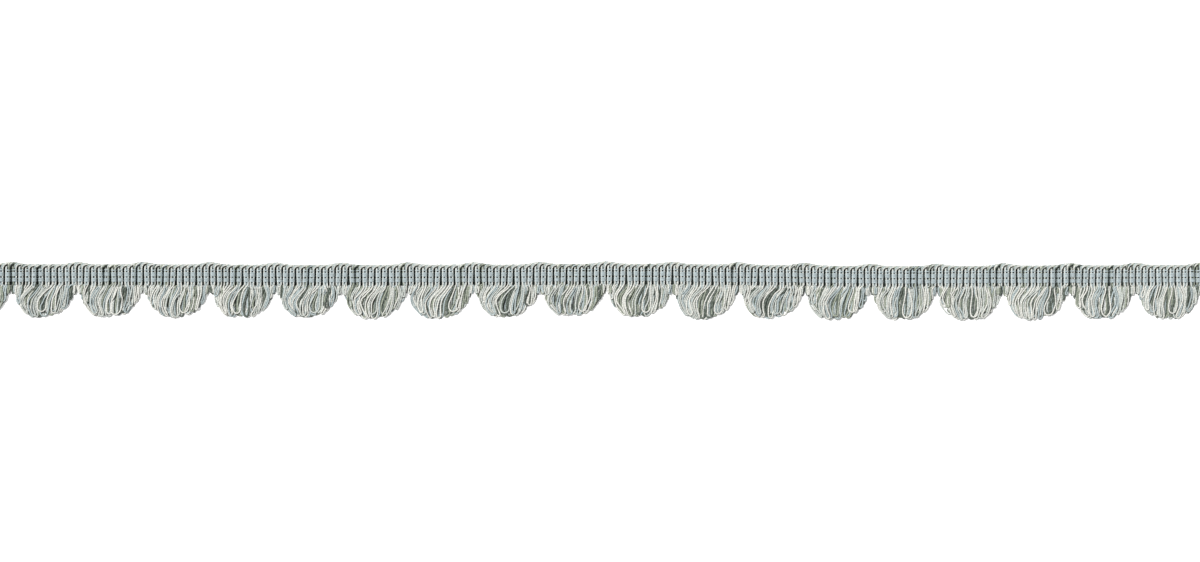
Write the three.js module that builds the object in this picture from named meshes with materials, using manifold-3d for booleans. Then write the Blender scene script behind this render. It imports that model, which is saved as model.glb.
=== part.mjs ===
// Fan edge trim, cut from a length and laid flat with its face up.
//
// The trim is woven in one run. Bundles of weft yarn go up and down through a narrow warp, so the heading
// is a row of ribs with a groove between each two. At the top the bundles turn over and make a rolled edge.
// At the foot they run out as loops, and the weaver lets the loops grow and shrink over ten ribs, which
// makes the fans. Units are millimetres. X runs along the trim, +Y is towards the rolled edge, +Z is up from
// the surface that the trim lies on, and the origin is the middle of its box, at the bottom.
import * as THREE from "three";
import { mergeVertices } from "three/addons/utils/BufferGeometryUtils.js";
import Module from "manifold-3d";

const wasm = await Module();
wasm.setup();

// Driving sizes
const RIB_PITCH = 3.5;
const RIBS_PER_FAN = 10;
const CUT_RIBS = 3; // ribs of the next fan that the cut leaves at each end
const HEADING_WIDTH = 10.4;
const PIECE_GAP = 0.3; // between pieces that touch on the real trim

const FAN_PITCH = RIB_PITCH * RIBS_PER_FAN;

// The heading's section, from its foot edge at y = 0 to its rolled edge
const HEADING = {
  ribHeight: 2.7,
  footHeight: 2.2,
  grooveFloor: 1.5,
  grooveHalf: 0.62,
  footTop: 0.25,
  ribTo: 7.7,
  rollTop: 9.3,
  rollHeight: 2.5,
  rollSide: 1.3,
  rollTuck: 0.45,
};

// The rolled edge swells outwards where two fans meet
const SWELL = { rise: 1.05, reach: 5.2, dip: 0.25 };

// The whole trim bows a little along its length: at is a share of the length, rise is in millimetres
const BOW = [
  { at: 0.0, rise: 0.1 },
  { at: 0.16, rise: 0.05 },
  { at: 0.26, rise: -0.3 },
  { at: 0.4, rise: -0.05 },
  { at: 0.52, rise: 0.45 },
  { at: 0.62, rise: -0.1 },
  { at: 0.73, rise: -0.9 },
  { at: 0.84, rise: -0.55 },
  { at: 1.0, rise: -0.2 },
];

// One row for each whole fan, from the left: drop is how far its longest loop hangs below the heading,
// lean is how far its long loops drift along X on the way down, and skew moves its longest loop along the fan
const FANS = [
  { drop: 17.7, lean: -2.0, skew: -0.05 },
  { drop: 17.6, lean: -0.6, skew: 0.02 },
  { drop: 17.8, lean: -0.6, skew: 0.0 },
  { drop: 17.8, lean: -1.0, skew: 0.0 },
  { drop: 17.2, lean: -1.6, skew: -0.02 },
  { drop: 18.2, lean: -1.2, skew: -0.02 },
  { drop: 18.4, lean: -1.0, skew: 0.0 },
  { drop: 17.4, lean: -1.3, skew: 0.0 },
  { drop: 17.1, lean: -1.5, skew: -0.02 },
  { drop: 17.8, lean: -0.8, skew: 0.0 },
  { drop: 18.7, lean: -1.2, skew: -0.05 },
  { drop: 18.2, lean: -0.5, skew: 0.06 },
  { drop: 18.3, lean: -1.1, skew: -0.02 },
  { drop: 18.4, lean: -0.5, skew: 0.01 },
  { drop: 18.7, lean: 0.3, skew: 0.03 },
  { drop: 18.7, lean: -1.0, skew: -0.01 },
  { drop: 18.0, lean: 0.2, skew: 0.02 },
  { drop: 18.5, lean: 0.4, skew: 0.03 },
];
const CUT_FAN = { drop: 18.0, lean: -0.8, skew: 0.0 };

// A loop is a bundle of yarns that lies on its flat side, with a ridge along its top
const LOOP = {
  notchDrop: 2.8, // what a loop would have right at a notch
  roundness: 2.35, // how full a fan's outline is: 1 would make it a triangle
  legHalf: 0.83, // from the loop's middle to the middle of a leg
  strandHalf: 0.66,
  shoulderHalf: 0.72, // where the leg starts its turn
  shoulderRise: 0.35, // how far that is above the turn's middle
  kneeShare: 0.5,
  rootRidge: 1.35,
  kneeRidge: 3.1,
  shoulderRidge: 2.5,
  tipRidge: 2.0,
  leastFull: 0.55, // the ridges of the shortest loops are this share of the longest ones'
  leastMitre: 0.8,
  uneven: 0.03, // as a share of a loop's length
};

// Below the notches a fan's loops start to lean, and spread by this share of their distance from its middle.
// The outermost ones spread less, by this power of that distance, because the next fan is beside them.
const SPLAY = { share: 0.12, from: 5.3, to: 9.3, crowding: 6 };

// The strip that holds a fan's loops, just below the heading
const STRIP = { depth: 1.1, height: 1.5, rootIn: 0.6 };

const FAN_COUNT = FANS.length;
const RIB_COUNT = FAN_COUNT * RIBS_PER_FAN + 2 * CUT_RIBS;
const LENGTH = RIB_COUNT * RIB_PITCH;
const FIRST_NOTCH = CUT_RIBS * RIB_PITCH;
const STRIP_TOP = -PIECE_GAP;

const YARN = {
  heading: { color: 0xa9b5b4, roughness: 0.88 },
  fan: { color: 0xb4bab3, roughness: 0.85 },
};

// A small steady unevenness between -1 and 1, the same on every run
function wobble(seed) {
  const s = Math.sin(seed * 12.9898 + 4.1414) * 43758.5453;
  return 2 * (s - Math.floor(s)) - 1;
}

// How far the trim is off a straight line at x
function bowAt(x) {
  const share = THREE.MathUtils.clamp(x / LENGTH, 0, 1);
  const next = Math.max(BOW.findIndex(({ at }) => at >= share), 1);
  const [before, after] = [BOW[next - 1], BOW[next]];
  const way = THREE.MathUtils.smoothstep(share, before.at, after.at);
  return THREE.MathUtils.lerp(before.rise, after.rise, way);
}

// How far the rolled edge swells at x: most at the notches, a little hollow in the middle of a fan
function swellAt(x) {
  const inFan = THREE.MathUtils.euclideanModulo(x - FIRST_NOTCH, FAN_PITCH);
  const fromNotch = Math.min(inFan, FAN_PITCH - inFan);
  const uneven = 1 + 0.25 * wobble(Math.round((x - FIRST_NOTCH) / FAN_PITCH));
  const hollow = SWELL.dip * Math.sin((Math.PI * inFan) / FAN_PITCH);
  return SWELL.rise * uneven * Math.exp(-((fromNotch / SWELL.reach) ** 2)) - hollow;
}

// A closed mesh from flat lists of points and triangle corners
function meshGeometry(points, corners) {
  const geometry = new THREE.BufferGeometry().setFromPoints(points);
  geometry.setIndex(corners);
  return geometry;
}

// Joins rows of points that all run along X into one closed skin. Rows may have different numbers of points.
function skinOfRows(rows) {
  const points = rows.flat();
  const starts = [];
  let count = 0;
  for (const row of rows) {
    starts.push(count);
    count += row.length;
  }
  const corners = [];
  rows.forEach((row, k) => {
    const next = (k + 1) % rows.length;
    const other = rows[next];
    let i = 0;
    let j = 0;
    while (i < row.length - 1 || j < other.length - 1) {
      const otherIsDone = j === other.length - 1;
      const rowIsBehind = otherIsDone || (i < row.length - 1 && row[i + 1].x <= other[j + 1].x);
      const a = starts[k] + i;
      const b = starts[next] + j;
      corners.push(a, rowIsBehind ? a + 1 : b + 1, b);
      if (rowIsBehind) i += 1;
      else j += 1;
    }
  });
  for (let k = 1; k < rows.length - 1; k += 1) {
    corners.push(starts[0], starts[k], starts[k + 1]);
    const ends = [0, k + 1, k].map((n) => starts[n] + rows[n].length - 1);
    corners.push(...ends);
  }
  return meshGeometry(points, corners);
}

// One row of the heading: a point for each groove, and two more on each rib where the row follows the ribs
function headingRow(y, grooveZ, ribZ, swellShare) {
  const place = (x, z) => new THREE.Vector3(x, y + bowAt(x) + swellShare * swellAt(x), z);
  const row = [];
  for (let rib = 0; rib <= RIB_COUNT; rib += 1) {
    const x = rib * RIB_PITCH;
    if (ribZ !== null && rib > 0) row.push(place(x - HEADING.grooveHalf, ribZ));
    row.push(place(x, grooveZ));
    if (ribZ !== null && rib < RIB_COUNT) row.push(place(x + HEADING.grooveHalf, ribZ));
  }
  return row;
}

// The woven heading: ribs across it, a groove between each two, and the rolled edge behind them
function headingGeometry() {
  const h = HEADING;
  const rollHang = HEADING_WIDTH - h.rollTuck;
  return skinOfRows([
    headingRow(0, 0, null, 0),
    headingRow(h.footTop, h.grooveFloor, h.footHeight, 0),
    headingRow(h.ribTo, h.grooveFloor, h.ribHeight, 0.4),
    headingRow(h.rollTop, h.rollHeight, null, 0.8),
    headingRow(HEADING_WIDTH, h.rollSide, null, 1),
    headingRow(rollHang, 0, null, 1),
  ]);
}

// How far the loop at place u of a fan hangs, where u runs from -1 to 1 between its notches
function loopDrop(fan, u, seed) {
  const fromLongest = THREE.MathUtils.clamp(u - fan.skew * (1 - u * u), -1, 1);
  const fullness = 1 - Math.abs(fromLongest) ** LOOP.roundness;
  return THREE.MathUtils.lerp(LOOP.notchDrop, fan.drop, fullness) * (1 + LOOP.uneven * wobble(seed));
}

// The share by which a strand has spread at a depth below the heading
function spreadAt(fromMiddle, depth) {
  const room = 1 - Math.abs((2 * fromMiddle) / FAN_PITCH) ** SPLAY.crowding;
  return SPLAY.share * room * THREE.MathUtils.smoothstep(depth, SPLAY.from, SPLAY.to);
}

// A strand with three sides along a path on the surface: flat below, with a ridge along its top.
// Each point of the path has the strand's half width and the height of its ridge there.
function strandGeometry(path) {
  const rows = [[], [], []];
  path.forEach(({ point, half, ridge }, k) => {
    const direction = (from) => path[from + 1].point.clone().sub(path[from].point).normalize();
    const into = direction(Math.max(k - 1, 0));
    const out = direction(Math.min(k, path.length - 2));
    const along = into.clone().add(out).normalize();
    const mitre = 1 / Math.max(along.dot(into), LOOP.leastMitre);
    const side = new THREE.Vector2(-along.y, along.x).multiplyScalar(mitre * half);
    rows[0].push(new THREE.Vector3(point.x + side.x, point.y + side.y, 0));
    rows[1].push(new THREE.Vector3(point.x - side.x, point.y - side.y, 0));
    rows[2].push(new THREE.Vector3(point.x, point.y, ridge));
  });
  const n = path.length;
  const corners = [];
  for (let k = 0; k < n - 1; k += 1) {
    for (let side = 0; side < 3; side += 1) {
      const a = side * n + k;
      const b = ((side + 1) % 3) * n + k;
      corners.push(a, b + 1, b, a, a + 1, b + 1);
    }
  }
  corners.push(0, n, 2 * n, n - 1, 3 * n - 1, 2 * n - 1);
  return meshGeometry(rows.flat(), corners);
}

// One loop: down one leg, round its turn, and up the other leg
function loopGeometry(fan, u, middleX, seed) {
  const drop = loopDrop(fan, u, seed);
  const turn = drop - LOOP.strandHalf;
  const fullness = THREE.MathUtils.lerp(LOOP.leastFull, 1, drop / fan.drop);
  const leg = [
    { depth: STRIP.rootIn - STRIP_TOP, aside: LOOP.legHalf, ridge: LOOP.rootRidge },
    { depth: LOOP.kneeShare * drop, aside: LOOP.legHalf, ridge: fullness * LOOP.kneeRidge },
    { depth: turn - LOOP.shoulderRise, aside: LOOP.shoulderHalf, ridge: fullness * LOOP.shoulderRidge },
  ];
  const onHand = (hand) => (row) => ({ ...row, aside: hand * row.aside });
  const rows = [
    ...leg.map(onHand(-1)),
    { depth: turn, aside: 0, ridge: fullness * LOOP.tipRidge },
    ...leg.toReversed().map(onHand(1)),
  ];
  const path = rows.map(({ depth, aside, ridge }) => {
    const fromMiddle = (u * FAN_PITCH) / 2 + aside;
    const spread = spreadAt(fromMiddle, depth);
    const lean = fan.lean * THREE.MathUtils.smoothstep(depth, SPLAY.from, fan.drop);
    const point = new THREE.Vector2(middleX + aside + spread * fromMiddle + lean, bowAt(middleX) - depth);
    return { point, half: LOOP.strandHalf * (1 + spread), ridge };
  });
  return strandGeometry(path);
}

// A three.js geometry as a manifold-3d solid
function solidOf(geometry) {
  const bare = geometry.clone();
  bare.deleteAttribute("normal");
  bare.deleteAttribute("uv");
  const merged = mergeVertices(bare, 1e-4);
  return new wasm.Manifold(
    new wasm.Mesh({
      numProp: 3,
      vertProperties: merged.attributes.position.array,
      triVerts: new Uint32Array(merged.index.array),
    }),
  );
}

// A manifold-3d solid as a three.js geometry
function geometryOf(solid) {
  const { vertProperties, triVerts } = solid.getMesh();
  const geometry = new THREE.BufferGeometry();
  geometry.setAttribute("position", new THREE.BufferAttribute(vertProperties, 3));
  geometry.setIndex(new THREE.BufferAttribute(triVerts, 1));
  return geometry;
}

// The strip that a fan's loops grow from, between two ribs of the heading
function stripSolid(firstRib, ribCount) {
  const width = ribCount * RIB_PITCH - PIECE_GAP;
  const box = new THREE.BoxGeometry(width, STRIP.depth, STRIP.height);
  const middle = (firstRib + ribCount / 2) * RIB_PITCH;
  box.translate(middle, STRIP_TOP - STRIP.depth / 2 + bowAt(middle), STRIP.height / 2);
  return solidOf(box);
}

// A fan, or the part of one that the cut leaves: its strip and a loop for each rib, joined at their roots
function fanGeometry(fan, firstRib, ribCount, firstPlace) {
  let solid = stripSolid(firstRib, ribCount);
  for (let k = 0; k < ribCount; k += 1) {
    const place = firstPlace + k;
    const u = (2 * (place + 0.5)) / RIBS_PER_FAN - 1;
    const middleX = (firstRib + k + 0.5) * RIB_PITCH;
    solid = solid.add(solidOf(loopGeometry(fan, u, middleX, firstRib + k)));
  }
  return geometryOf(solid);
}

function namedMesh(name, geometry, yarn) {
  const material = new THREE.MeshStandardMaterial({ ...yarn, metalness: 0 });
  geometry.computeVertexNormals();
  const mesh = new THREE.Mesh(geometry, material);
  mesh.name = name;
  return mesh;
}

const trim = new THREE.Group();
trim.add(namedMesh("heading", headingGeometry(), YARN.heading));

FANS.forEach((fan, index) => {
  const name = `fan_${String(index + 1).padStart(2, "0")}`;
  const firstRib = CUT_RIBS + index * RIBS_PER_FAN;
  trim.add(namedMesh(name, fanGeometry(fan, firstRib, RIBS_PER_FAN, 0), YARN.fan));
});
trim.add(namedMesh("fan_cut_left", fanGeometry(CUT_FAN, 0, CUT_RIBS, RIBS_PER_FAN - CUT_RIBS), YARN.fan));
trim.add(namedMesh("fan_cut_right", fanGeometry(CUT_FAN, RIB_COUNT - CUT_RIBS, CUT_RIBS, 0), YARN.fan));

// The origin goes to the middle of the box, at the bottom
const box = new THREE.Box3().setFromObject(trim);
const middle = box.getCenter(new THREE.Vector3());
trim.position.set(-middle.x, -middle.y, -box.min.z);

export default trim;
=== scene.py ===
"""Fan edge trim: its yarns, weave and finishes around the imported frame, with the light and the camera.

All lengths are metres unless a name ends in _mm. The trim lies on z = 0 with X along it and +Y towards its
rolled edge. Depth is measured down a fan from the heading's foot line.
"""

from __future__ import annotations

import logging
import math
from dataclasses import dataclass, field
from enum import Enum
from functools import partial

import bpy
import numpy as np
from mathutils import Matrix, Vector
from mathutils.kdtree import KDTree

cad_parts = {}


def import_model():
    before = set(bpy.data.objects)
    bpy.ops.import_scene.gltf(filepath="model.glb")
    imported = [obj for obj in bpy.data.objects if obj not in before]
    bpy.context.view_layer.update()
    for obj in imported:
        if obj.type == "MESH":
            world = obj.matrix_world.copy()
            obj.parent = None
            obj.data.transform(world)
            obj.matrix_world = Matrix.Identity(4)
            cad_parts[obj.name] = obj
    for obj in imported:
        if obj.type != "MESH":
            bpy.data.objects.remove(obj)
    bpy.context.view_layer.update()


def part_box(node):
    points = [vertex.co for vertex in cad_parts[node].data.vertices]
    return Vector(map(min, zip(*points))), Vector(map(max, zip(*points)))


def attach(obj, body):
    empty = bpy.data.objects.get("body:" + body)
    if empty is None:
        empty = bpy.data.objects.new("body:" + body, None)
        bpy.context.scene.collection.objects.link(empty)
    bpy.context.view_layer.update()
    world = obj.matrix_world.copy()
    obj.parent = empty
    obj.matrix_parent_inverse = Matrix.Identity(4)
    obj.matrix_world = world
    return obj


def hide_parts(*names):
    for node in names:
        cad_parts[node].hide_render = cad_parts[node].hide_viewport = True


log = logging.getLogger("fan_edge_trim")

MM = 0.001
SEED = 6100
Numbers = np.ndarray | float
Pair = tuple[float, float]
Triple = tuple[float, float, float]


class Yarn(Enum):
    """The yarns and threads that the trim is woven from; each value is its material's name."""

    ECRU = "ecru_yarn"
    BLUE = "blue_grey_yarn"
    PALE = "pale_grey_yarn"
    SAGE = "sage_yarn"
    GREY = "grey_yarn"
    WARP = "pale_blue_warp"


Materials = dict[Yarn, bpy.types.Material]


@dataclass(frozen=True)
class YarnFinish:
    """The finish of one yarn: the colours of its two plies and how it takes the light."""

    yarn: Yarn
    colour: Triple
    ply_colour: Triple
    twist_mm: float
    bump: float = 0.5
    sheen: float = 0.25


FINISHES = (
    YarnFinish(Yarn.ECRU, (0.80, 0.80, 0.74), (0.87, 0.87, 0.82), twist_mm=2.6),
    YarnFinish(Yarn.BLUE, (0.475, 0.555, 0.565), (0.545, 0.615, 0.615), twist_mm=2.3),
    YarnFinish(Yarn.PALE, (0.62, 0.66, 0.625), (0.695, 0.72, 0.675), twist_mm=2.7),
    YarnFinish(Yarn.SAGE, (0.35, 0.39, 0.31), (0.43, 0.46, 0.38), twist_mm=2.4),
    # The grey yarn always lies under the others; its very dark colour is partly the yarn's own and partly
    # painted shade for the layer beneath the top loops and the gaps in the rolled edge.
    YarnFinish(Yarn.GREY, (0.12, 0.145, 0.12), (0.18, 0.21, 0.18), twist_mm=2.2),
    YarnFinish(Yarn.WARP, (0.69, 0.83, 0.88), (0.80, 0.90, 0.93), twist_mm=0.9, bump=0.3, sheen=0.4),
)


@dataclass(frozen=True)
class GroundFinish:
    """The finish of one side of the heading's ground: its colours between the threads and on them."""

    name: str
    deep: Triple
    high: Triple
    threads_per_m: float


GROUND_FINISHES = (
    # The face is near-black: partly the ground cloth's own dark colour and partly painted shade for the
    # deep gaps between the ribs.
    GroundFinish("ground_face_painted_shade", (0.013, 0.021, 0.018), (0.045, 0.060, 0.052), threads_per_m=900.0),
    GroundFinish("ground_back", (0.22, 0.26, 0.27), (0.52, 0.60, 0.64), threads_per_m=300.0),
)


@dataclass(frozen=True)
class FanShape:
    """One fan of loops: how far it hangs, how far its outline is off the middle, and where its loops part.

    The loops before the parting lean to the left and the others to the right. It is 0 in the fan's middle
    and 1 at its right end.
    """

    drop_mm: float
    lean_mm: float
    parting: float


@dataclass(frozen=True)
class BowPoint:
    """How far the trim is off a straight line, at a share of its length."""

    at: float
    rise_mm: float


FANS = (
    FanShape(17.7, -2.0, 0.36),
    FanShape(17.6, -0.6, 0.2),
    FanShape(17.8, -0.6, 0.26),
    FanShape(17.8, -1.0, 0.15),
    FanShape(17.2, -1.6, 0.3),
    FanShape(18.2, -1.2, 0.35),
    FanShape(18.4, -1.0, 0.4),
    FanShape(17.4, -1.3, 0.3),
    FanShape(17.1, -1.5, 0.2),
    FanShape(17.8, -0.8, 0.2),
    FanShape(18.7, -1.2, 0.45),
    FanShape(18.2, -0.5, 0.55),
    FanShape(18.3, -1.1, 0.4),
    FanShape(18.4, -0.5, 0.05),
    FanShape(18.7, 0.3, 0.0),
    FanShape(18.7, -1.0, 0.4),
    FanShape(18.0, 0.2, 0.1),
    FanShape(18.5, 0.4, 0.1),
)
CUT_FAN = FanShape(18.0, -0.8, 0.2)

BOW = (
    BowPoint(0.0, 0.1),
    BowPoint(0.16, 0.05),
    BowPoint(0.26, -0.3),
    BowPoint(0.4, -0.05),
    BowPoint(0.52, 0.45),
    BowPoint(0.62, -0.1),
    BowPoint(0.73, -0.9),
    BowPoint(0.84, -0.55),
    BowPoint(1.0, -0.2),
)


def smoothstep(value: Numbers, low: float, high: float) -> Numbers:
    """Ease from 0 where a value is low to 1 where it is high."""
    share = np.clip((value - low) / (high - low), 0.0, 1.0)
    return share * share * (3.0 - 2.0 * share)


def smooth_path(controls: np.ndarray, spacing: float) -> np.ndarray:
    """Run a smooth curve through control points and step along it evenly.

    Args:
        controls: The points that the curve passes, one row each.
        spacing: The distance between steps.

    Returns:
        The evenly spaced points, one row each.
    """
    ends = np.vstack([2 * controls[0] - controls[1], controls, 2 * controls[-1] - controls[-2]])
    t = np.linspace(0.0, 1.0, 9)[:-1, None]
    pieces = []
    for k in range(1, len(ends) - 2):
        a, b, c, d = ends[k - 1 : k + 3]
        cubic = -a + 3 * b - 3 * c + d
        square = 2 * a - 5 * b + 4 * c - d
        pieces.append(0.5 * (2 * b + (c - a) * t + square * t**2 + cubic * t**3))
    fine = np.vstack([*pieces, controls[-1:]])
    along = np.concatenate([[0.0], np.cumsum(np.linalg.norm(np.diff(fine, axis=0), axis=1))])
    count = max(int(round(along[-1] / spacing)), 6) + 1
    steps = np.linspace(0.0, along[-1], count)
    return np.column_stack([np.interp(steps, along, fine[:, axis]) for axis in range(3)])


@dataclass
class Strand:
    """One length of yarn: its middle line, its radius along it, and which yarn it is."""

    path: np.ndarray
    radii: np.ndarray
    yarn: Yarn
    lot: float
    rank: float = 0.0


@dataclass
class Skein:
    """A piece made of many strands, joined in one mesh of round tubes with closed ends."""

    name: str
    sides: int
    strands: list[Strand] = field(default_factory=list)

    def tube(self, strand: Strand) -> tuple[np.ndarray, np.ndarray]:
        """Place the rings of one strand.

        Args:
            strand: The strand.

        Returns:
            The points, one row each, ring by ring, and the length along the strand at each ring.
        """
        path = strand.path
        along = np.gradient(path, axis=0)
        along /= np.linalg.norm(along, axis=1, keepdims=True)
        across = np.cross(along, (0.0, 0.0, 1.0))
        across /= np.linalg.norm(across, axis=1, keepdims=True)
        over = np.cross(across, along)
        turn = np.linspace(0.0, 2 * math.pi, self.sides, endpoint=False)[None, :, None]
        ring = np.cos(turn) * across[:, None, :] + np.sin(turn) * over[:, None, :]
        points = path[:, None, :] + ring * strand.radii[:, None, None]
        steps = np.linalg.norm(np.diff(path, axis=0), axis=1)
        return points.reshape(-1, 3), np.concatenate([[0.0], np.cumsum(steps)])

    def build(self, materials: Materials) -> bpy.types.Object:
        """Join the strands in one mesh, with a UV map that runs along each strand.

        Args:
            materials: The material of each yarn.

        Returns:
            The new object, at the origin.
        """
        sides = self.sides
        used = sorted({strand.yarn for strand in self.strands}, key=lambda yarn: yarn.value)
        side = np.arange(sides)
        corners = np.array([(0, 0), (0, 1), (1, 1), (1, 0)])
        turns = side[:, None] + corners[:, 1]
        points, faces, uvs, slots, lots = [], [], [], [], []
        start = 0
        for strand in self.strands:
            placed, along = self.tube(strand)
            rings = len(along)
            ring = np.arange(rings - 1)[:, None, None] + corners[:, 0]
            quads = (start + ring * sides + turns % sides).reshape(-1, 4)
            faces.extend(quads.tolist())
            faces.append((start + side[::-1]).tolist())
            faces.append((start + (rings - 1) * sides + side).tolist())
            u = along / MM
            around = np.stack(np.broadcast_arrays(u[ring], turns / sides), axis=-1)
            caps = [np.column_stack([np.full(sides, end), side / sides]) for end in (u[0], u[-1])]
            uvs.append(np.vstack([around.reshape(-1, 2), *caps]))
            points.append(placed)
            slots.append(np.full(len(quads) + 2, used.index(strand.yarn)))
            lots.append(np.full(len(placed), strand.lot))
            start += len(placed)
        mesh = bpy.data.meshes.new(self.name)
        mesh.from_pydata(np.vstack(points).tolist(), [], faces)
        for yarn in used:
            mesh.materials.append(materials[yarn])
        mesh.polygons.foreach_set("material_index", np.concatenate(slots).astype(np.int32))
        mesh.polygons.foreach_set("use_smooth", np.ones(len(mesh.polygons), dtype=bool))
        layer = mesh.uv_layers.new(name="along_yarn")
        layer.uv.foreach_set("vector", np.vstack(uvs).astype(np.float32).ravel())
        lot = mesh.attributes.new("lot", "FLOAT", "POINT")
        lot.data.foreach_set("value", np.concatenate(lots).astype(np.float32))
        mesh.update()
        piece = bpy.data.objects.new(self.name, mesh)
        bpy.context.collection.objects.link(piece)
        return piece


@dataclass
class TrimLine:
    """Where the ribs, the foot line and the rolled edge of the trim run, from the frame."""

    rib_pitch: float = 3.5 * MM
    ribs_per_fan: int = 10
    cut_ribs: int = 3
    heading_width: float = 10.4 * MM
    swell_rise: float = 1.05 * MM
    swell_reach: float = 5.2 * MM
    swell_dip: float = 0.25 * MM
    lean_at_foot: float = 0.2 * MM
    most_lean: float = 0.4 * MM
    lean_from: float = -2.0 * MM
    lean_to: float = 7.5 * MM
    column_aside: float = 0.66 * MM
    weft_radius: float = 0.31 * MM

    def __post_init__(self) -> None:
        """Take the trim's ends and its foot line from the heading's box, and draw how each rib leans."""
        low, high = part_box("heading")
        self.start = low[0]
        self.length = high[0] - low[0]
        self.foot = low[1] - min(point.rise_mm for point in BOW) * MM
        self.rib_count = len(FANS) * self.ribs_per_fan + 2 * self.cut_ribs
        self.fan_pitch = self.ribs_per_fan * self.rib_pitch
        self.first_notch = self.start + self.cut_ribs * self.rib_pitch
        draws = np.random.default_rng(SEED + 1).normal(0.0, self.lean_at_foot, self.rib_count + 2)
        self.leans = np.clip(draws, -self.most_lean, self.most_lean)
        self.leans[[0, 1, -2, -1]] = 0.0

    def lean(self, rib: int, above: Numbers) -> Numbers:
        """Return how far a rib, or the one past a cut end, is off its place along X above the foot line."""
        return self.leans[rib + 1] * (1 - smoothstep(above, self.lean_from, self.lean_to))

    def rib_x(self, rib: int) -> float:
        """Return the middle of a rib along X, without its lean."""
        return self.start + (rib + 0.5) * self.rib_pitch

    def foot_y(self, x: Numbers) -> Numbers:
        """Return where the heading's foot line runs at x, with the trim's bow.

        Args:
            x: Places along the trim.

        Returns:
            The foot line's Y at each.
        """
        share = np.clip((np.asarray(x) - self.start) / self.length, 0.0, 1.0)
        rise = np.full(share.shape, BOW[0].rise_mm)
        for before, after in zip(BOW[:-1], BOW[1:]):
            rise = rise + (after.rise_mm - before.rise_mm) * smoothstep(share, before.at, after.at)
        return self.foot + rise * MM

    def swell(self, x: Numbers) -> Numbers:
        """Return how far the rolled edge stands out at x: most where two fans meet.

        Args:
            x: Places along the trim.

        Returns:
            The swell at each.
        """
        in_fan = np.mod(np.asarray(x) - self.first_notch, self.fan_pitch)
        from_notch = np.minimum(in_fan, self.fan_pitch - in_fan)
        hollow = self.swell_dip * np.sin(math.pi * in_fan / self.fan_pitch)
        return self.swell_rise * np.exp(-((from_notch / self.swell_reach) ** 2)) - hollow


@dataclass(frozen=True)
class ColumnPlace:
    """Where one yarn of a bundle lies in a column of the heading, and where it goes over the rolled edge.

    aside_mm is measured from the column's middle, less than 0 on the outside of the rib, and height_mm from
    the surface. The yarn goes over the edge over_mm right of the gap's middle, roll_mm above the surface.
    """

    aside_mm: float
    height_mm: float
    over_mm: float
    roll_mm: float


COLUMN = (
    ColumnPlace(-0.27, 1.66, 1.75, 2.1),
    ColumnPlace(0.27, 1.66, -0.05, 2.2),
    ColumnPlace(-0.29, 1.02, 0.85, 2.2),
    ColumnPlace(0.29, 1.02, -0.95, 1.95),
    ColumnPlace(0.0, 0.72, 0.5, 1.2),
)
BUNDLE = (Yarn.ECRU, Yarn.BLUE, Yarn.PALE, Yarn.SAGE, Yarn.GREY)


@dataclass
class Bundles:
    """How the yarns of each bundle lie in their columns, from gap to gap of the heading."""

    line: TrimLine
    random: np.random.Generator
    kept_share: float = 0.7

    def __post_init__(self) -> None:
        """Draw an order for each gap: mostly the usual one, with the pale yarn outside, and else any."""
        self.orders = []
        self.tightness = self.random.random(self.line.rib_count + 1)
        for _ in range(self.line.rib_count + 1):
            order = np.arange(len(BUNDLE))
            if self.random.random() > self.kept_share:
                order = self.random.permutation(order)
            self.orders.append(order)

    def place(self, gap: int, member: int) -> ColumnPlace:
        """Return where a member of the bundle lies in the columns on both sides of a gap."""
        return COLUMN[self.orders[gap][member]]


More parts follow.
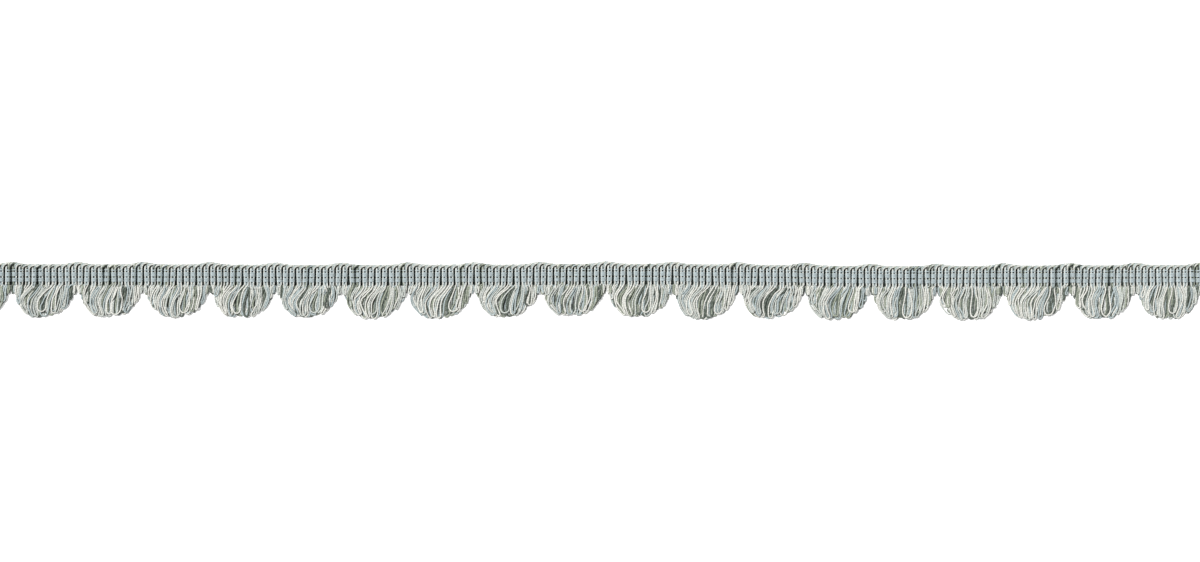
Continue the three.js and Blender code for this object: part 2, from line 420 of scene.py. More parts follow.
@dataclass
class Settling:
    """Lets loops of yarn come to rest on the surface and on each other, by moving their points apart.

    The first and last points of each strand stay where they are.
    """

    strands: list[Strand]
    rounds: int = 48
    search_every: int = 8
    search_reach: float = 1.35 * MM
    fall: float = 0.05 * MM
    pinned: int = 3
    straightening: Triple = (0.12, 0.12, 0.3)
    hold: float = 0.06
    touch: float = 0.97
    sideways: float = 0.8
    rank_push: float = 0.5
    push: float = 0.4

    def __post_init__(self) -> None:
        """Put all points in one array, with each one's strand, radius and rank, and whether it is free."""
        strands = self.strands
        sizes = [len(strand.path) for strand in strands]
        self.starts = np.concatenate([[0], np.cumsum(sizes)[:-1]])
        self.points = np.vstack([strand.path for strand in strands])
        self.planned = self.points.copy()
        self.radii = np.concatenate([strand.radii for strand in strands])
        self.owner = np.repeat(np.arange(len(strands)), sizes)
        self.rank = np.repeat([strand.rank for strand in strands], sizes)
        place = np.arange(len(self.points)) - self.starts[self.owner]
        from_end = np.minimum(place, np.repeat(sizes, sizes) - 1 - place)
        self.free = (from_end >= self.pinned).astype(float)
        self.inner = np.flatnonzero(from_end >= self.pinned)
        self.lengths = np.linalg.norm(self.points[1:] - self.points[:-1], axis=1)
        self.linked = self.owner[1:] == self.owner[:-1]

    def contacts(self) -> np.ndarray:
        """Find the pairs of points that may touch.

        Returns:
            The pairs, one row each.
        """
        tree = KDTree(len(self.points))
        for k, point in enumerate(self.points):
            tree.insert(point, k)
        tree.balance()
        pairs = []
        for k, point in enumerate(self.points):
            for _, other, _ in tree.find_range(point, self.search_reach):
                if other > k and (self.owner[other] != self.owner[k] or other - k > 4):
                    pairs.append((k, other))
        return np.array(pairs)

    def settle(self) -> None:
        """Move the points until the strands rest on the surface and hardly cut into each other."""
        points, inner = self.points, self.inner
        pairs = None
        for turn in range(self.rounds):
            if turn % self.search_every == 0:
                pairs = self.contacts()
            points[:, 2] -= self.fall * self.free
            self.part(pairs)
            middle = 0.5 * (points[inner - 1] + points[inner + 1])
            points[inner] += (middle - points[inner]) * np.array(self.straightening)
            points[inner, :2] += self.hold * (self.planned[inner, :2] - points[inner, :2])
            self.keep_lengths()
            points[:, 2] = np.maximum(points[:, 2], self.radii)
        for strand, start in zip(self.strands, self.starts):
            strand.path = points[start : start + len(strand.path)].copy()

    def part(self, pairs: np.ndarray) -> None:
        """Push apart the pairs of points that are closer than their radii, the higher ranked one upwards.

        Args:
            pairs: The pairs that may touch.
        """
        first, second = pairs[:, 0], pairs[:, 1]
        apart = self.points[first] - self.points[second]
        distance = np.linalg.norm(apart, axis=1) + 1e-9
        overlap = (self.radii[first] + self.radii[second]) * self.touch - distance
        touching = overlap > 0
        first, second, overlap = first[touching], second[touching], overlap[touching]
        way = apart[touching] / distance[touching, None]
        way[:, :2] *= self.sideways
        way[:, 2] += self.rank_push * np.sign(self.rank[first] - self.rank[second])
        way /= np.linalg.norm(way, axis=1, keepdims=True) + 1e-9
        push = way * (self.push * overlap)[:, None]
        for axis in range(3):
            count = len(self.points)
            up = np.bincount(first, push[:, axis], count)
            down = np.bincount(second, push[:, axis], count)
            self.points[:, axis] += (up - down) * self.free

    def keep_lengths(self) -> None:
        """Keep neighbouring points of a strand as far apart as they were cut."""
        points, free = self.points, self.free
        for parity in (0, 1):
            low = np.flatnonzero(self.linked & (np.arange(len(self.linked)) % 2 == parity))
            step = points[low + 1] - points[low]
            now = np.linalg.norm(step, axis=1) + 1e-9
            mend = step * (0.5 * (now - self.lengths[low]) / now)[:, None]
            points[low] += mend * free[low, None]
            points[low + 1] -= mend * free[low + 1, None]


@dataclass(frozen=True)
class FanPiece:
    """One piece of loops: the node that it replaces, its shape, and its ribs."""

    node: str
    shape: FanShape
    first_rib: int
    ribs: int
    first_place: int


@dataclass(frozen=True)
class LoopPlan:
    """What is drawn for one loop before it is laid out, with what Fans.plan is given.

    A loop that is under lies below the others. The outline lets it hang down by whole, and it hangs down by
    deep, resting at the height rest. Halfway down, sway draws it aside, and clump towards its bundle.
    """

    rib: int
    place: float
    member: int
    bold: bool
    under: bool
    u: float
    bend: float
    half: float
    whole: float
    deep: float
    rest: float
    sway: float
    clump: float


@dataclass
class Fans:
    """The fans of yarn loops below the heading: the outlines, the way that loops sweep, and what is drawn.

    In the functions, u is a yarn's place in its fan at the heading, from -1 at the left to 1 at the right,
    and bend is how much it follows the parting, and the outline's round at the bottom.
    """

    line: TrimLine
    bundles: Bundles
    random: np.random.Generator
    radius: float = 0.45 * MM
    under_radius: float = 0.52 * MM
    thickness: Pair = (0.9, 1.06)
    half_width: float = 16.0 * MM
    inside: float = 1.2 * MM
    off_middle: float = -0.6 * MM
    fuller: float = 0.5 * MM
    roundness: float = 2.2
    notch_drop: float = 6.2 * MM
    notch_spread: float = 0.08
    part_gap: float = 0.08
    left_crowd: float = 1.45
    right_crowd: float = 0.95
    left_curl: float = 0.93
    right_curl: float = 0.88
    lean_depth: float = 7.5 * MM
    middle_depth: float = 11.8 * MM
    root_above: float = 0.7 * MM
    under_share: tuple[float, ...] = (0.05, 0.55, 0.35, 0.85, 1.0)
    top_half_mm: Pair = (0.6, 1.5)
    under_half_mm: Pair = (0.9, 2.0)
    bold_half_mm: Pair = (1.5, 1.9)
    flank_half_mm: Pair = (0.6, 1.1)
    top_short: float = 0.035
    most_short: float = 0.12
    bold_short: Pair = (0.05, 0.16)
    bold_members: tuple[int, ...] = (0, 0, 2)
    flank_short: float = 0.16
    flank_room: float = 0.6
    flank_narrowing: float = 0.35
    parting_opening: float = 0.5
    parting_reach: float = 0.16
    top_bend: Pair = (0.65, 1.25)
    under_bend: float = 0.35
    most_curl: float = 0.97
    top_layers: tuple[float, ...] = (1.9, 2.8)
    drawn_sway: float = 0.4 * MM
    tight_sway: float = 2.0 * MM
    clump: float = 0.4
    bold_lift: float = 1.2
    under_drop: float = 0.5
    step: float = 0.95 * MM
    sides: int = 7

    def pieces(self) -> list[FanPiece]:
        """List the fans, and the parts of one that the cuts leave.

        Returns:
            Their pieces, from the left.
        """
        cut, per_fan = self.line.cut_ribs, self.line.ribs_per_fan
        rows = [FanPiece("fan_cut_left", CUT_FAN, 0, cut, per_fan - cut)]
        for index, shape in enumerate(FANS):
            rows.append(FanPiece(f"fan_{index + 1:02d}", shape, cut + index * per_fan, per_fan, 0))
        return [*rows, FanPiece("fan_cut_right", CUT_FAN, self.line.rib_count - cut, cut, 0)]

    def outline(self, shape: FanShape, from_middle: float) -> float:
        """Return how deep a fan's outline is at a distance from the fan's middle.

        Args:
            shape: The fan.
            from_middle: The distance along X.

        Returns:
            The depth below the foot line.
        """
        inner = 1 - min((from_middle / self.half_width) ** 2, 1.0)
        middle = (self.off_middle + 0.5 * shape.lean_mm * MM) * inner
        share = abs(from_middle - middle) / self.half_width
        round_off = max(1.0 - share**self.roundness, 0.0) ** (1 / self.roundness)
        return max(self.notch_drop, (shape.drop_mm * MM + self.fuller) * round_off)

    def aim(self, shape: FanShape, u: float, bend: float) -> float:
        """Return where across the fan a yarn heads for: -1 at the left flank and 1 at the right one.

        Args:
            shape: The fan.
            u: The yarn's place.
            bend: Its bend.

        Returns:
            The place that it heads for.
        """
        middle = shape.parting - 0.05
        gap = self.part_gap * bend
        if u < shape.parting:
            share = (u + 1) / (shape.parting + 1)
            return (middle - gap + 1) * share ** (1 + self.left_crowd * bend) - 1
        share = (1 - u) / (1 - shape.parting)
        return 1 - (1 - middle - gap) * share ** (1 + self.right_crowd * bend)

    def sweep(self, shape: FanShape, u: float, depth: np.ndarray, bend: float) -> np.ndarray:
        """Return how far aside a yarn has swept on its way down.

        Args:
            shape: The fan.
            u: The yarn's place.
            depth: How deep it is below the foot line.
            bend: Its bend.

        Returns:
            The distance along X from the fan's middle at each depth.
        """
        root = u * self.line.fan_pitch / 2
        curl = self.left_curl + (self.right_curl - self.left_curl) * smoothstep(u, -0.2, 0.6)
        down = np.clip(depth / (shape.drop_mm * MM + self.fuller), 0.0, 1.0)
        width = (1 - min(curl * bend, self.most_curl) * down**self.roundness) ** (1 / self.roundness)
        width = width * (self.half_width - self.inside)
        aim = self.aim(shape, u, bend)
        wider = 1 + self.notch_spread * aim**8
        aim = (self.off_middle + 0.5 * shape.lean_mm * MM) * (1 - aim * aim) + aim * width * wider
        end = self.middle_depth + (self.lean_depth - self.middle_depth) * u * u
        start = smoothstep(0.0, -2.0 * MM, end)
        ease = (smoothstep(depth, -2.0 * MM, end) - start) / (1 - start)
        return root + (aim - root) * ease

    def reach(self, shape: FanShape, u: float, bend: float, half: float) -> float:
        """Return how deep a loop gets before its outer leg comes to the fan's outline.

        Args:
            shape: The fan.
            u: The loop's place.
            bend: Its bend.
            half: How far its legs are from its middle.

        Returns:
            The depth below the foot line.
        """
        depths = np.linspace(0.2, 1.0, 60) * (shape.drop_mm * MM + self.fuller)
        across = self.sweep(shape, u, depths, bend)
        for depth, x in zip(depths, across):
            if depth >= min(self.outline(shape, x - half), self.outline(shape, x + half)):
                return float(depth)
        return float(depths[-1])

    def plan(self, shape: FanShape, rib: int, place: float, member: int, bold: bool) -> LoopPlan:
        """Draw how wide, how deep and how much aside a loop hangs.

        Args:
            shape: The fan.
            rib: The rib that the loop hangs from.
            place: Where the loop's turn belongs in a whole fan, in ribs from its left notch.
            member: The yarn's number in the bundle.
            bold: Whether it is a wide open loop that lies on the others.

        Returns:
            The plan.
        """
        rnd = self.random
        u = float(np.clip(2 * place / self.line.ribs_per_fan - 1, -0.97, 0.97))
        room = 1 - abs(u) ** 6
        under = rnd.random() < self.under_share[member] and not bold
        half = rnd.uniform(*self.top_half_mm) * MM
        short = min(abs(rnd.normal(0.0, self.top_short)), self.most_short)
        if under:
            short = rnd.uniform(0.0, self.most_short) * room
            half = rnd.uniform(*self.under_half_mm) * MM
        if bold:
            half = rnd.uniform(*self.bold_half_mm) * MM
            short = rnd.uniform(*self.bold_short)
        if room < self.flank_room:
            half = rnd.uniform(*self.flank_half_mm) * MM
            short = rnd.uniform(0.0, self.flank_short)
        if not under:
            from_parting = (u - shape.parting) / self.parting_reach
            half *= 1 + self.parting_opening * math.exp(-(from_parting**2))
        bend = self.under_bend if under else rnd.uniform(*self.top_bend)
        flank = self.aim(shape, u, bend) ** 4
        half = half * (0.5 + 0.5 * room) * (1 - self.flank_narrowing * flank)
        whole = self.reach(shape, u, bend, 0.8 * half)
        deep = whole * (1 - short)
        rest = self.radius * (1.0 if under else rnd.choice(self.top_layers))
        sway = rnd.normal(0.0, self.drawn_sway) * room
        clump = 0.0
        if not under:
            sway += self.tight_sway * (self.bundles.tightness[rib] - 0.5) * room
            clump = self.clump * (0.5 + self.bundles.tightness[rib - 1]) * room
        half = min(half, 0.28 * deep)
        return LoopPlan(rib, place, member, bold, under, u, bend, half, whole, deep, rest, sway, clump)

    def loop(self, shape: FanShape, plan: LoopPlan) -> Strand:
        """Lay out one loop, from a column of the heading down round its turn and up to the other column.

        Args:
            shape: The fan.
            plan: What is drawn for the loop.

        Returns:
            The strand, before it settles.
        """
        line, rib, half = self.line, plan.rib, plan.half
        before = math.floor(plan.place)
        fan_x = line.rib_x(rib) + line.fan_pitch / 2 - (before + 0.5) * line.rib_pitch
        middle = line.rib_x(rib) + line.lean(rib, 0.0)
        roots = {-1: self.bundles.place(rib, plan.member), 1: self.bundles.place(rib + 1, plan.member)}
        turn = min(1.3 * half, 0.35 * plan.deep)
        straight = plan.deep - self.radius - turn

        down = np.array([0.0, 0.15, 0.34, 0.56, 0.78, 1.0]) * straight
        share = down / straight
        gather = np.sin(math.pi * down / plan.whole)
        centre = self.sweep(shape, plan.u, down, plan.bend) + fan_x - middle + plan.sway * gather
        centre -= plan.clump * (plan.place - before - 0.5) * line.rib_pitch * gather
        slope = np.gradient(centre, down)
        along = np.column_stack([slope, np.ones_like(slope)])
        along /= np.linalg.norm(along, axis=1, keepdims=True)
        across = np.column_stack([along[:, 1], -along[:, 0]])
        opened = 0.35 + 0.65 * smoothstep(share, 0.1, 0.9)
        settled = smoothstep(share, 0.0, 0.14 if plan.under else 0.26)

        def leg(hand: int) -> np.ndarray:
            """Place one leg's points from the root down.

            Args:
                hand: -1 for the left leg and 1 for the right one.

            Returns:
                The points as x from the rib's middle, depth and height, one row each.
            """
            root_z = roots[hand].height_mm * MM
            root = hand * (line.column_aside - roots[hand].aside_mm * MM)
            x = centre + hand * half * opened * across[:, 0]
            y = down + hand * half * opened * across[:, 1] * settled
            x = root + (x - root) * settled
            z = root_z + (plan.rest - root_z) * smoothstep(share, 0.0, 0.4)
            return np.vstack([[root, -self.root_above, root_z], np.column_stack([x, y, z])])

        angles = np.radians((38.0, 90.0, 142.0))[:, None]
        bottom = np.array([[centre[-1], straight]]) + turn * np.sin(angles) * along[-1]
        bottom = bottom - half * np.cos(angles) * across[-1]
        bottom = np.column_stack([bottom, np.full(3, plan.rest)])
        rows = np.vstack([leg(-1), bottom, leg(1)[::-1]])
        controls = np.column_stack([middle + rows[:, 0], line.foot_y(middle) - rows[:, 1], rows[:, 2]])
        path = smooth_path(controls, self.step)
        depth = line.foot_y(middle) - path[:, 1]
        full = self.under_radius if plan.under else self.radius
        radii = line.weft_radius + (full - line.weft_radius) * smoothstep(depth, -0.3 * MM, 1.2 * MM)
        rnd = self.random
        radii = radii * rnd.uniform(*self.thickness)
        lift = self.bold_lift if plan.bold else -self.under_drop * plan.under
        return Strand(path, radii, BUNDLE[plan.member], rnd.random(), rnd.random() + lift)

    def build(self, materials: Materials) -> list[bpy.types.Object]:
        """Lay out all loops, let them settle together, and make a piece of each fan's.

        Args:
            materials: The material of each yarn.

        Returns:
            The pieces, from the left.
        """
        rows = self.pieces()
        skeins = []
        for row in rows:
            skein = Skein(row.node.replace("fan", "loops"), self.sides)
            bold_place = int(0.5 * (row.shape.parting + 1) * self.line.ribs_per_fan)
            bold_member = int(self.random.choice(self.bold_members))
            for k in range(row.ribs):
                slots = self.random.permutation(len(BUNDLE))
                for member, slot in enumerate(slots):
                    bold = row.first_place + k == bold_place and member == bold_member
                    place = row.first_place + k + (slot + 0.5) / len(BUNDLE)
                    plan = self.plan(row.shape, row.first_rib + k, place, member, bold)
                    skein.strands.append(self.loop(row.shape, plan))
            skeins.append(skein)
        Settling([strand for skein in skeins for strand in skein.strands]).settle()
        pieces = []
        for skein, row in zip(skeins, rows):
            piece = skein.build(materials)
            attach(piece, "root")
            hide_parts(row.node)
            pieces.append(piece)
            log.info("%s: %d loops, %d faces", piece.name, len(skein.strands), len(piece.data.polygons))
        return pieces


@dataclass(frozen=True)
class WarpBand:
    """A band of warp threads across the ribs: where it starts above the foot line, and its threads."""

    name: str
    start_mm: float
    threads: int


WARP_BANDS = (
    WarpBand("warp_lower", 1.2, 13),
    WarpBand("warp_middle", 4.05, 14),
    WarpBand("warp_upper", 7.05, 4),
)

# How far the inner yarns of a column stand aside, 1 being all the way, at mm above the foot line.
PARTINGS = (
    (-0.4, 0.0),
    (0.15, 0.5),
    (0.45, 1.0),
    (1.0, 1.0),
    (1.5, 0.0),
    (2.95, 0.0),
    (3.4, 1.0),
    (3.95, 1.0),
    (4.4, 0.0),
    (6.0, 0.0),
    (6.4, 1.0),
    (6.9, 1.0),
    (7.35, 0.0),
    (7.7, 0.9),
    (8.05, 0.9),
)


@dataclass
class Heading:
    """The woven heading: its ground, the weft columns with the rolled edge, and the warp threads."""

    line: TrimLine
    bundles: Bundles
    random: np.random.Generator
    roll_radius: float = 0.47 * MM
    warp_radius: float = 0.145 * MM
    warp_pitch: float = 0.165 * MM
    warp_under: float = 0.2 * MM
    warp_shoulder: float = 1.45 * MM
    warp_above: float = 0.08 * MM
    warp_sag: float = 0.12 * MM
    warp_turns_mm: Triple = (1.36, 1.3, 0.85)
    weft_step: float = 0.85 * MM
    turn_from: float = 8.35 * MM
    edge_at: float = 10.2 * MM
    part_aside: float = 0.29 * MM
    ground_depth: float = 10.0 * MM
    ground_below: float = 0.75 * MM
    ground_inside: float = 1.25 * MM
    ground_swell: float = 0.8
    ground_thickness: float = 0.45 * MM
    edge_drift: float = 0.05 * MM
    over_drift: float = 0.15 * MM
    warp_drift: float = 0.02 * MM
    thicker_from: float = 7.7 * MM
    thicker_to: float = 8.6 * MM
    weft_parts: int = 3
    weft_sides: int = 6
    warp_sides: int = 4

    def column(self, hand: int, out: float, slot: ColumnPlace) -> list[Triple]:
        """Run a yarn up the column before (-1) or after (1) a gap, parted between the bands of warp."""
        parting = self.part_aside * (slot.aside_mm > 0.1)
        return [(hand * (out - share * parting), y * MM, slot.height_mm * MM) for y, share in PARTINGS]

    def weft(self, gap: int, member: int) -> Strand:
        """Run a yarn up the rib before a gap, askew over the rolled edge, and down the rib after it.

        Args:
            gap: The gap's number; 0 is before the first rib.
            member: The yarn's number in the bundle.

        Returns:
            The strand. At a cut end it has the half that is left.
        """
        rnd = self.random
        line = self.line
        slot = self.bundles.place(gap, member)
        gap_x = line.start + gap * line.rib_pitch
        out = line.rib_pitch / 2 - line.column_aside + slot.aside_mm * MM
        height = slot.height_mm * MM
        low = self.turn_from
        rise = self.edge_at + rnd.normal(0.0, self.edge_drift) - low
        roll = slot.roll_mm * MM
        over = slot.over_mm * MM + rnd.normal(0.0, self.over_drift)
        way = [
            (-out + 0.05 * MM, low, 0.6 * height + 0.4 * roll),
            (-out + 0.2 * (over + out), low + 0.4 * rise, 0.2 * height + 0.8 * roll),
            (-out + 0.55 * (over + out), low + 0.74 * rise, roll),
            (over, low + 0.92 * rise, 0.9 * roll),
            (over + 0.8 * MM, low + 0.99 * rise, 0.65 * roll),
            (over + 1.2 * MM, low + rise, 0.4 * roll),
            (over + 0.8 * MM, low + 0.8 * rise, 0.5 * MM),
            (0.5 * (out + over), low + 0.35 * rise, 0.6 * MM),
            (out, low - 0.3 * MM, 0.6 * height + 0.3 * MM),
        ]
        before = [(x + line.lean(gap - 1, y), y, z) for x, y, z in self.column(-1, out, slot)]
        after = [(x + line.lean(gap, y), y, z) for x, y, z in self.column(1, out, slot)[::-1]]
        if gap == 0:
            rows = np.array([(0.3 * MM, *way[4][1:]), *way[5:], *after])
        elif gap == line.rib_count:
            rows = np.array([*before, *way[:2]])
            rows[-1, 0] = -0.5 * MM
        else:
            rows = np.array([*before, *way, *after])
        x = gap_x + rows[:, 0]
        y = rows[:, 1] + line.swell(x) * smoothstep(rows[:, 1], self.turn_from - 1.5 * MM, self.edge_at)
        path = smooth_path(np.column_stack([x, line.foot_y(x) + y, rows[:, 2]]), self.weft_step)
        above = path[:, 1] - line.foot_y(path[:, 0])
        thick = smoothstep(above, self.thicker_from, self.thicker_to)
        radii = line.weft_radius + (self.roll_radius - line.weft_radius) * thick
        return Strand(path, radii, BUNDLE[member], rnd.random())

    def warp(self, band: WarpBand, thread: int) -> Strand:
        """Run a warp thread over every second rib and under the ones between.

        Args:
            band: The thread's band.
            thread: Its number in the band.

        Returns:
            The strand, as long as the trim.
        """
        line = self.line
        top = COLUMN[0].height_mm * MM + line.weft_radius + self.warp_above
        side = list(zip(self.warp_turns_mm, (self.warp_under, self.warp_shoulder, top)))
        over = [(-x, z) for x, z in side] + [(0.0, top - self.warp_sag)] + side[::-1]
        under = [(0.0, self.warp_under)]
        rows = []
        for rib in range(line.rib_count):
            shape = over if (rib + thread) % 2 == 0 else under
            sway = self.random.normal(0.0, self.warp_drift)
            middle = line.rib_x(rib) + line.lean(rib, band.start_mm * MM + thread * self.warp_pitch)
            rows.extend((middle + x * MM, sway, z) for x, z in shape)
        rows = np.array(rows)
        y = line.foot_y(rows[:, 0]) + band.start_mm * MM + thread * self.warp_pitch + rows[:, 1]
        path = np.column_stack([rows[:, 0], y, rows[:, 2]])
        ends = path[[0, -1]].copy()
        ends[0, 0] = line.start
        ends[1, 0] = line.start + line.length
        path = np.vstack([ends[:1], path, ends[1:]])
        return Strand(path, np.full(len(path), self.warp_radius), Yarn.WARP, self.random.random())

    def ground(self, materials: list[bpy.types.Material]) -> bpy.types.Object:
        """Make the ground of the weave, the flat cloth that shows deep in the gaps and from behind; its
        face is near-black, partly a dark cloth and partly painted shade for the gaps.

        Args:
            materials: The finishes of its face and its back.

        Returns:
            The piece.
        """
        line = self.line
        bpy.ops.object.select_all(action="DESELECT")
        bpy.ops.mesh.primitive_grid_add(x_subdivisions=line.rib_count, y_subdivisions=6, size=1.0)
        piece = bpy.context.object
        piece.name = "heading_ground"
        piece.data.name = piece.name
        for vertex in piece.data.vertices:
            x = line.start + (vertex.co.x + 0.5) * line.length
            share = vertex.co.y + 0.5
            top = line.heading_width - self.ground_inside + self.ground_swell * float(line.swell(x))
            y = float(line.foot_y(x)) + share * (top + self.ground_below) - self.ground_below
            vertex.co = Vector((x, y, 0.0))
        solid = piece.modifiers.new("thickness", "SOLIDIFY")
        solid.thickness = self.ground_thickness
        solid.offset = 1.0
        bpy.ops.object.modifier_apply(modifier=solid.name)
        for material in materials:
            piece.data.materials.append(material)
        for polygon in piece.data.polygons:
            polygon.material_index = int(polygon.normal.z < -0.5)
        return piece

    def build(self, materials: Materials, sides: list[bpy.types.Material]) -> list[bpy.types.Object]:
        """Make the heading's pieces.

        Args:
            materials: The material of each yarn.
            sides: The materials of the ground's face and back.

        Returns:
            The ground, and then the weft and the warp.
        """
        pieces = [self.ground(sides)]
        gaps = self.line.rib_count + 1
        bounds = np.linspace(0, gaps, self.weft_parts + 1).round().astype(int)
        for part, (first, last) in enumerate(zip(bounds[:-1], bounds[1:])):
            skein = Skein(f"weft_{part + 1}", self.weft_sides)
            for gap in range(first, last):
                skein.strands.extend(self.weft(gap, member) for member in range(len(BUNDLE)))
            pieces.append(skein.build(materials))
        for band in WARP_BANDS:
            skein = Skein(band.name, self.warp_sides)
            skein.strands.extend(self.warp(band, thread) for thread in range(band.threads))
            pieces.append(skein.build(materials))
        for piece in pieces:
            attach(piece, "root")
            log.info("%s: %d faces", piece.name, len(piece.data.polygons))
        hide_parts("heading")
        return pieces


@dataclass
class NodeTable:
    """Adds nodes to a node tree, and joins them."""

    tree: bpy.types.NodeTree

    def fill(self, node: bpy.types.Node, inputs: dict[str | int, object]) -> None:
        """Set a node's inputs to values, or join them to the outputs of other nodes.

        Args:
            node: The node.
            inputs: The value or the output for each input, by its name or number.
        """
        for key, value in inputs.items():
            if isinstance(value, bpy.types.NodeSocket):
                self.tree.links.new(value, node.inputs[key])
            else:
                node.inputs[key].default_value = value

    def add(self, kind: str, inputs: dict[str | int, object], **settings: object) -> bpy.types.NodeOutputs:
        """Add a node.

        Args:
            kind: Its type.
            inputs: The value or the output for each input, by its name or number.
            **settings: Its other settings.

        Returns:
            Its outputs.
        """
        node = self.tree.nodes.new(kind)
        for key, value in settings.items():
            setattr(node, key, value)
        self.fill(node, inputs)
        return node.outputs

    def maths(self, operation: str, first: object, second: object = 0.0) -> bpy.types.NodeSocket:
        """Add a math node on outputs or numbers, and return its result."""
        return self.add("ShaderNodeMath", {0: first, 1: second}, operation=operation)[0]


@dataclass
class Finishes:
    """The materials of the yarns and of the ground, with the node group that the yarns share.

    The numbers say how much the fibres, the slow changes along a yarn and its lot add to its lightness, and
    how much painted shade darkens the grooves between its plies and its sides.
    """

    lot_turns: float = 7.0
    ply_edge: float = 3.0
    fibre_stretch: Triple = (1.6, 9.0, 40.0)
    fibre_scale: float = 1.8
    fibre_detail: float = 4.0
    slow_stretch: Pair = (0.16, 90.0)
    least_light: float = 0.74
    fibre_light: float = 0.22
    slow_light: float = 0.18
    lot_light: float = 0.14
    # Painted shade: the grooves between the plies and the yarn's sides, away from its crown, are darkened
    # towards a dark shade colour, as if shade fell there.
    groove_power: float = 0.5
    groove_shade: float = 0.4
    side_shade_power: float = 1.1
    painted_shade_colour: tuple[float, float, float, float] = (0.14, 0.16, 0.13, 1.0)
    round_power: float = 0.6
    fibre_height: float = 0.45
    least_roughness: float = 0.78
    fibre_roughness: float = 0.2
    yarn_relief: float = 0.12 * MM
    ground_relief: float = 0.1 * MM

    def two_ply_group(self) -> bpy.types.NodeTree:
        """Build the group that gives a yarn its two plies: their colours, grooves and fibres, with painted
        shade in the grooves and on the sides.

        Returns:
            The node group.
        """
        group = bpy.data.node_groups.new("two_ply", "ShaderNodeTree")
        colour, number = "NodeSocketColor", "NodeSocketFloat"
        for name, kind in (("Ply one", colour), ("Ply two", colour), ("Twist", number)):
            group.interface.new_socket(name, in_out="INPUT", socket_type=kind)
        for name, kind in (("Colour", colour), ("Height", number), ("Roughness", number)):
            group.interface.new_socket(name, in_out="OUTPUT", socket_type=kind)
        table = NodeTable(group)
        maths = table.maths
        times, plus = partial(maths, "MULTIPLY"), partial(maths, "ADD")
        given = table.add("NodeGroupInput", {})
        uv = table.add("ShaderNodeUVMap", {}, uv_map="along_yarn")
        split = table.add("ShaderNodeSeparateXYZ", {0: uv["UV"]})
        lot = table.add("ShaderNodeAttribute", {}, attribute_name="lot")["Fac"]
        turns = maths("DIVIDE", split["X"], given["Twist"])
        shifted = plus(turns, times(lot, self.lot_turns))
        wave = maths("SINE", times(plus(shifted, split["Y"]), 2 * math.pi))
        groove = maths("ABSOLUTE", wave)
        ply = maths("SMOOTH_MIN", maths("MAXIMUM", times(wave, self.ply_edge), 0.0), 1.0)

        spread = (split["X"], plus(split["Y"], turns), lot)
        spread = [times(start, by) for start, by in zip(spread, self.fibre_stretch)]
        place = table.add("ShaderNodeCombineXYZ", dict(zip("XYZ", spread)))
        noise = {"Vector": place[0], "Scale": self.fibre_scale, "Detail": self.fibre_detail}
        fibre = table.add("ShaderNodeTexNoise", noise, noise_dimensions="3D")["Fac"]
        spread = [times(start, by) for start, by in zip((split["X"], lot), self.slow_stretch)]
        place = table.add("ShaderNodeCombineXYZ", dict(zip("XY", spread)))
        noise = {"Vector": place[0], "Scale": 1.0}
        slow = table.add("ShaderNodeTexNoise", noise, noise_dimensions="3D")["Fac"]

        plies = {"Factor": ply, "A": given["Ply one"], "B": given["Ply two"]}
        mixed = table.add("ShaderNodeMix", plies, data_type="RGBA")["Result"]
        light = plus(times(fibre, self.fibre_light), self.least_light)
        light = plus(light, times(slow, self.slow_light))
        light = plus(light, times(lot, self.lot_light))
        lit = table.add("ShaderNodeHueSaturation", {"Value": light, "Color": mixed})["Color"]
        # Painted shade: the colour is darkened in the grooves between the plies and on the yarn's sides
        # away from its crown, where shade would fall.
        flat = maths("POWER", groove, self.groove_power)
        depth = times(maths("SUBTRACT", 1.0, flat), self.groove_shade)
        crown = maths("MAXIMUM", maths("SINE", times(split["Y"], 2 * math.pi)), 0.0)
        side = maths("POWER", maths("SUBTRACT", 1.0, crown), self.side_shade_power)
        shade = {"Factor": maths("MAXIMUM", depth, side), "A": lit, "B": self.painted_shade_colour}
        shaded = table.add("ShaderNodeMix", shade, data_type="RGBA", blend_type="MULTIPLY")["Result"]
        fibre_height = times(fibre, self.fibre_height)
        height = plus(maths("POWER", groove, self.round_power), fibre_height)
        rough = plus(self.least_roughness, times(fibre, self.fibre_roughness))
        table.add("NodeGroupOutput", {"Colour": shaded, "Height": height, "Roughness": rough})
        return group

    def yarn(self, finish: YarnFinish, group: bpy.types.NodeTree) -> bpy.types.Material:
        """Make one yarn's material.

        Args:
            finish: The yarn's finish.
            group: The two-ply group.

        Returns:
            The material.
        """
        material = bpy.data.materials.new(finish.yarn.value)
        material.use_nodes = True
        table = NodeTable(material.node_tree)
        plies = {"Ply one": (*finish.colour, 1.0), "Ply two": (*finish.ply_colour, 1.0)}
        plies["Twist"] = finish.twist_mm
        ply = table.add("ShaderNodeGroup", plies, node_tree=group)
        relief = {"Strength": finish.bump, "Distance": self.yarn_relief, "Height": ply["Height"]}
        inputs = {
            "Base Color": ply["Colour"],
            "Roughness": ply["Roughness"],
            "Normal": table.add("ShaderNodeBump", relief)["Normal"],
            "Sheen Weight": finish.sheen,
            "Sheen Roughness": 0.5,
            "Specular IOR Level": 0.25,
        }
        table.fill(material.node_tree.nodes["Principled BSDF"], inputs)
        return material

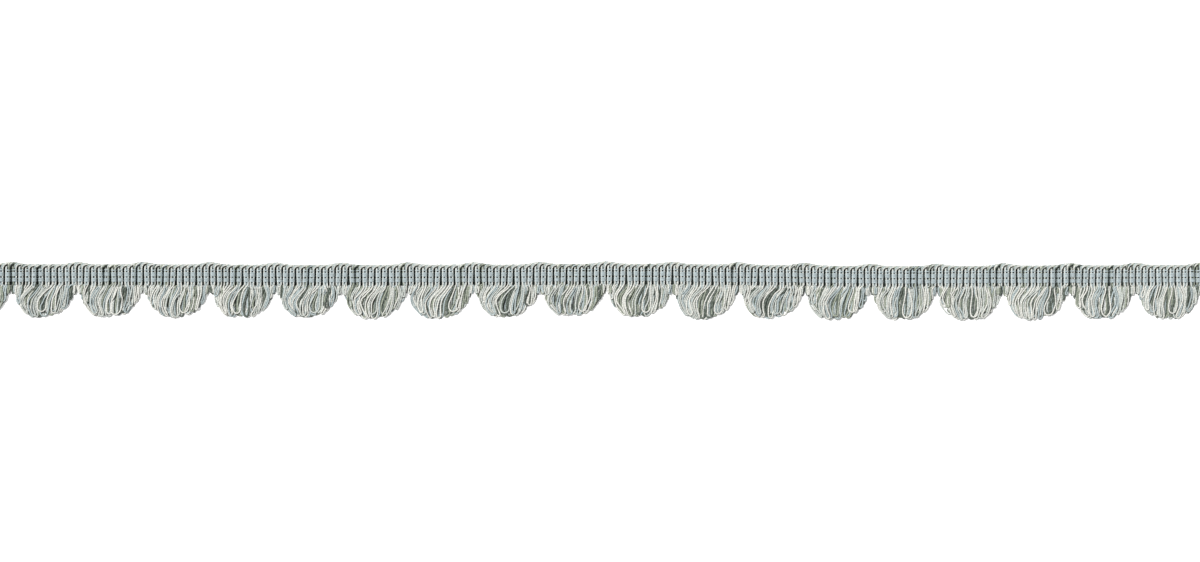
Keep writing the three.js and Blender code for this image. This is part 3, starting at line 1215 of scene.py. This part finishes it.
    def ground(self, finish: GroundFinish) -> bpy.types.Material:
        """Make one side of the ground, a plain weave on Object coordinates.

        Args:
            finish: That side's finish.

        Returns:
            The material.
        """
        material = bpy.data.materials.new(finish.name)
        material.use_nodes = True
        table = NodeTable(material.node_tree)
        place = table.add("ShaderNodeTexCoord", {})["Object"]
        bands = {"Vector": place, "Scale": finish.threads_per_m, "Distortion": 0.6}
        waves = [table.add("ShaderNodeTexWave", bands, bands_direction=way)["Fac"] for way in "XY"]
        weave = table.maths("MULTIPLY", *waves)
        ramp = table.add("ShaderNodeValToRGB", {"Fac": weave})["Color"]
        for element, colour in zip(ramp.node.color_ramp.elements, (finish.deep, finish.high)):
            element.color = (*colour, 1.0)
        relief = {"Strength": 0.6, "Distance": self.ground_relief, "Height": weave}
        bump = table.add("ShaderNodeBump", relief)["Normal"]
        inputs = {"Base Color": ramp, "Roughness": 0.9, "Normal": bump}
        table.fill(material.node_tree.nodes["Principled BSDF"], inputs)
        return material

    def build(self) -> tuple[Materials, list[bpy.types.Material]]:
        """Make all materials.

        Returns:
            The material of each yarn, and those of the ground's face and back.
        """
        group = self.two_ply_group()
        yarns = {finish.yarn: self.yarn(finish, group) for finish in FINISHES}
        return yarns, [self.ground(finish) for finish in GROUND_FINISHES]


@dataclass
class Studio:
    """The pale floor, the soft light and the camera above the trim."""

    line: TrimLine
    lens_mm: float = 100.0
    sensor_mm: float = 36.0
    frame_width: float = 635.4 * MM
    view_aside: float = -3.44 * MM
    view_above_foot: float = 1.59 * MM
    floor_size: float = 3.0
    world_strength: float = 0.14
    key_energy: float = 3.8
    key_softness: float = 12.0
    floor_glow: float = 0.45
    key_from: Triple = (-0.55, 0.4, 1.0)

    def camera(self) -> None:
        """Place the camera straight above, square to the trim."""
        distance = self.frame_width * self.lens_mm / self.sensor_mm
        place = (self.view_aside, self.line.foot + self.view_above_foot, distance)
        bpy.ops.object.camera_add(location=place, rotation=(0.0, 0.0, 0.0))
        camera = bpy.context.object
        camera.name = "camera"
        camera.data.lens = self.lens_mm
        camera.data.sensor_width = self.sensor_mm
        camera.data.clip_start = 0.01
        bpy.context.scene.camera = camera

    def floor(self) -> None:
        """Lay the pale floor, lit from below so that it stays white around the trim."""
        bpy.ops.object.select_all(action="DESELECT")
        bpy.ops.mesh.primitive_plane_add(size=self.floor_size, location=(0.0, 0.0, 0.0))
        floor = bpy.context.object
        floor.name = "floor"
        material = bpy.data.materials.new("floor_paper")
        material.use_nodes = True
        paper = {
            "Base Color": (0.93, 0.93, 0.93, 1.0),
            "Roughness": 0.9,
            "Emission Color": (1.0, 1.0, 1.0, 1.0),
            "Emission Strength": self.floor_glow,
        }
        NodeTable(material.node_tree).fill(material.node_tree.nodes["Principled BSDF"], paper)
        floor.data.materials.append(material)

    def light(self) -> None:
        """Set one soft light to the upper left, the same all along, and a white surrounding."""
        world = bpy.data.worlds.new("surrounding")
        world.use_nodes = True
        glow = {"Color": (1.0, 1.0, 1.0, 1.0), "Strength": self.world_strength}
        NodeTable(world.node_tree).fill(world.node_tree.nodes["Background"], glow)
        bpy.context.scene.world = world
        place = Vector(self.key_from)
        turn = (-place).to_track_quat("-Z", "Y").to_euler()
        bpy.ops.object.light_add(type="SUN", location=place, rotation=turn)
        key = bpy.context.object
        key.name = "key_light"
        key.data.energy = self.key_energy
        key.data.angle = math.radians(self.key_softness)

    def build(self) -> None:
        """Set up the stage."""
        self.floor()
        self.camera()
        self.light()
        bpy.context.scene.view_settings.view_transform = "Standard"


def main() -> None:
    """Build the trim around the frame."""
    logging.basicConfig(level=logging.INFO, format="%(name)s: %(message)s")
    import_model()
    bpy.ops.object.select_all(action="DESELECT")
    line = TrimLine()
    Studio(line).build()
    materials, sides = Finishes().build()
    random = np.random.default_rng(SEED)
    bundles = Bundles(line, random)
    loops = Fans(line, bundles, random).build(materials)
    heading = Heading(line, bundles, random)
    ground, *woven = heading.build(materials, sides)


if __name__ == "__main__":
    main()
